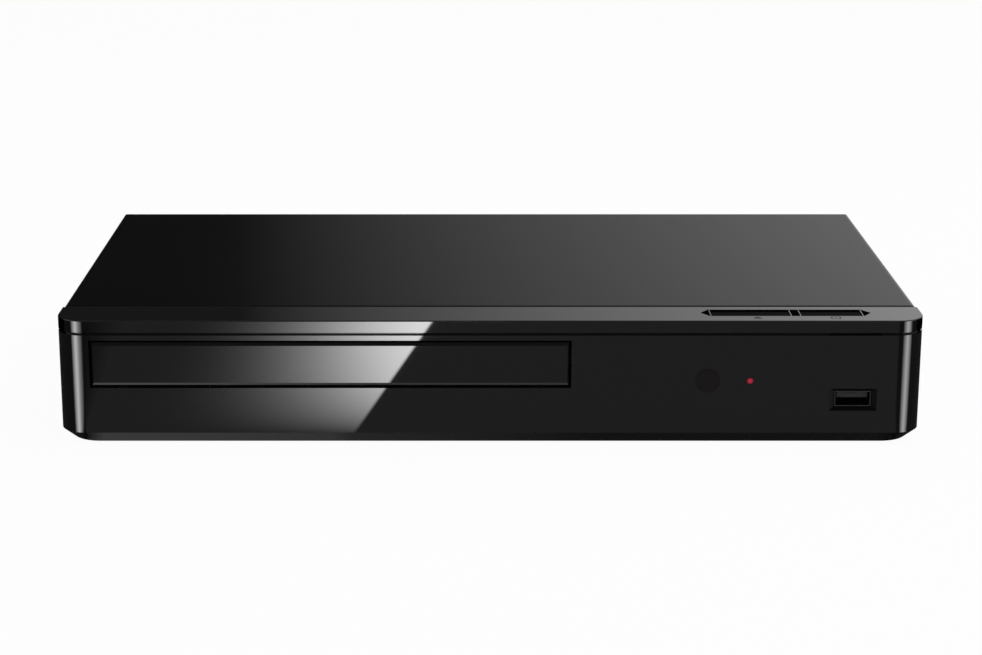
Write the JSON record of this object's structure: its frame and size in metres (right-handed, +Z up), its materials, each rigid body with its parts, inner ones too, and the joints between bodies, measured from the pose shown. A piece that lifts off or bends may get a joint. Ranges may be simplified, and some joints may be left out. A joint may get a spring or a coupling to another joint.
{
  "type": "disc player",
  "caption": "Slim black disc player with a sliding tray behind a wide front door, top buttons, a front USB socket and rear sockets.",
  "frame": {"origin": "on the surface it stands on, under the middle of the player", "axes": "+X to the right seen from the front, +Y to the rear, +Z up"},
  "size_m": [0.3134, 0.18, 0.0472],
  "materials": {
    "cover_paint": "satin black paint on folded steel",
    "fascia_gloss": "piano black, polished",
    "trim_gloss": "black, polished front and satin top",
    "door_gloss": "piano black, polished",
    "key_gloss": "black, polished",
    "window_plastic": "very dark red, passes infrared",
    "light_pipe": "clear red, lit from behind",
    "light_lens": "red, clear",
    "bare_steel": "zinc-plated sheet",
    "panel_paint": "satin black paint",
    "black_screw": "black zinc",
    "zinc_screw": "zinc-plated",
    "foot_rubber": "matt",
    "belt_rubber": "matt",
    "bush_rubber": "matt",
    "socket_metal": "nickel-plated",
    "pin_metal": "nickel-plated",
    "black_plastic": "fine texture",
    "tray_plastic": "fine texture",
    "loader_plastic": "fine texture",
    "gear_plastic": "natural acetal",
    "connector_plastic": "natural nylon",
    "board_green": "green solder mask on glass-fibre board",
    "board_brown": "paper board",
    "chip_plastic": "matt moulding",
    "sink_aluminium": "plain extruded",
    "deck_steel": "zinc-plated sheet",
    "motor_steel": "plated can",
    "rod_steel": "ground rod",
    "capacitor_sleeve": "shrunk sleeve",
    "transformer_tape": "yellow tape on ferrite",
    "coil_ferrite": "enamelled winding",
    "ribbon_white": "flat cable",
    "wire_plastic": "insulated wire",
    "pickup_plastic": "die-cast, blackened",
    "lens_glass": "coated lens"
  },
  "bodies": {
    "casing": {"bottom_chassis": "bare_steel", "top_cover": "cover_paint", "rear_panel": "panel_paint", "front_fascia": "fascia_gloss", "fascia_top_trim": "trim_gloss", "rubber_feet": "foot_rubber", "cover_screws": "black_screw", "chassis_screws": "black_screw", "inner_screws": "zinc_screw", "ir_window": "window_plastic", "led_light_pipe": "light_pipe", "front_board": "board_brown", "tact_switches": "chip_plastic", "power_led": "light_lens", "ir_receiver": "chip_plastic", "usb_socket_shell": "socket_metal", "usb_socket_tongue": "black_plastic", "main_board": "board_green", "board_chips": "chip_plastic", "processor_heat_sink": "sink_aluminium", "power_board": "board_brown", "power_transformer": "transformer_tape", "power_capacitors": "capacitor_sleeve", "mains_filter_coil": "coil_ferrite", "power_heat_sink": "sink_aluminium", "mains_inlet": "black_plastic", "inlet_pins": "pin_metal", "hdmi_socket": "socket_metal", "lan_socket": "black_plastic", "board_connectors": "connector_plastic", "front_ribbon_cable": "ribbon_white", "drive_ribbon_cable": "ribbon_white", "power_cable": "wire_plastic", "loader_frame": "loader_plastic", "loader_board": "board_brown", "clamper_bridge": "deck_steel", "drive_belt": "belt_rubber", "loading_motor": "motor_steel"},
    "tray": {"tray": "tray_plastic", "tray_door": "door_gloss"},
    "drive_gear": {"drive_gear": "gear_plastic"},
    "pulley_gear": {"pulley_gear": "gear_plastic"},
    "motor_pulley": {"motor_pulley": "gear_plastic"},
    "cam_slider": {"cam_slider": "gear_plastic"},
    "lifting_deck": {"traverse_frame": "loader_plastic", "traverse_bushes": "bush_rubber", "mechanism_plate": "deck_steel", "spindle_motor": "motor_steel", "guide_rods": "rod_steel", "feed_motor": "motor_steel"},
    "turntable": {"turntable": "chip_plastic"},
    "pickup": {"pickup_body": "pickup_plastic"},
    "lens": {"objective_lens": "lens_glass"},
    "feed_screw": {"feed_screw": "rod_steel"},
    "clamper": {"clamper_puck": "black_plastic"},
    "open_close_button": {"open_close_button": "key_gloss", "open_switch_plunger": "black_plastic"},
    "power_button": {"power_button": "key_gloss", "power_switch_plunger": "black_plastic"}
  },
  "joints": [
    {"name": "tray_slide", "type": "slide", "parent": "casing", "child": "tray", "axis": [0, -1, 0], "range_m": [0, 0.125]},
    {"name": "drive_gear_turn", "type": "hinge", "parent": "casing", "child": "drive_gear", "pos_m": [-0.0995, -0.066, 0.02], "axis": [0, 0, 1], "range_deg": [-1, 896.25]},
    {"name": "pulley_gear_turn", "type": "hinge", "parent": "casing", "child": "pulley_gear", "pos_m": [-0.0775, -0.066, 0.02], "axis": [0, 0, 1], "range_deg": [-2388.32, 1]},
    {"name": "motor_pulley_turn", "type": "hinge", "parent": "casing", "child": "motor_pulley", "pos_m": [-0.0475, -0.066, 0.02], "axis": [0, 0, 1], "range_deg": [-9550.3, 1]},
    {"name": "deck_lift", "type": "hinge", "parent": "casing", "child": "lifting_deck", "pos_m": [-0.0577, 0.066, 0.018], "axis": [-1, 0, 0], "range_deg": [0, 6]},
    {"name": "cam_slide", "type": "slide", "parent": "casing", "child": "cam_slider", "axis": [1, 0, 0], "range_m": [-0.0001, 0.0161]},
    {"name": "turntable_spin", "type": "hinge", "parent": "lifting_deck", "child": "turntable", "pos_m": [-0.0577, -0.01921, 0.01558], "axis": [0, -0.1045, 0.9945], "continuous": true},
    {"name": "pickup_slide", "type": "slide", "parent": "lifting_deck", "child": "pickup", "axis": [0, 0.9945, 0.1045], "range_m": [0, 0.034]},
    {"name": "feed_screw_turn", "type": "hinge", "parent": "lifting_deck", "child": "feed_screw", "pos_m": [-0.0267, -0.00022, 0.01667], "axis": [0, 0.9945, 0.1045], "range_deg": [-1, 4081]},
    {"name": "lens_focus", "type": "slide", "parent": "pickup", "child": "lens", "axis": [0, -0.1045, 0.9945], "range_m": [0, 0.0006]},
    {"name": "clamper_spin", "type": "hinge", "parent": "casing", "child": "clamper", "pos_m": [-0.0577, -0.019, 0.037], "axis": [0, 0, 1], "continuous": true},
    {"name": "open_close_press", "type": "slide", "parent": "casing", "child": "open_close_button", "axis": [0, 0, -1], "range_m": [0, 0.0006], "stiffness_N_per_m": 800, "springref_m": -0.0005},
    {"name": "power_press", "type": "slide", "parent": "casing", "child": "power_button", "axis": [0, 0, -1], "range_m": [0, 0.0006], "stiffness_N_per_m": 800, "springref_m": -0.0005}
  ],
  "couplings": [
    {"joint": "drive_gear_turn", "follows": "tray_slide", "rad_per_m": 125},
    {"joint": "pulley_gear_turn", "follows": "tray_slide", "rad_per_m": -333.33},
    {"joint": "motor_pulley_turn", "follows": "tray_slide", "rad_per_m": -1333.3},
    {"joint": "cam_slide", "follows": "deck_lift", "m_per_rad": 0.15279},
    {"joint": "feed_screw_turn", "follows": "pickup_slide", "rad_per_m": 2094.4}
  ]
}
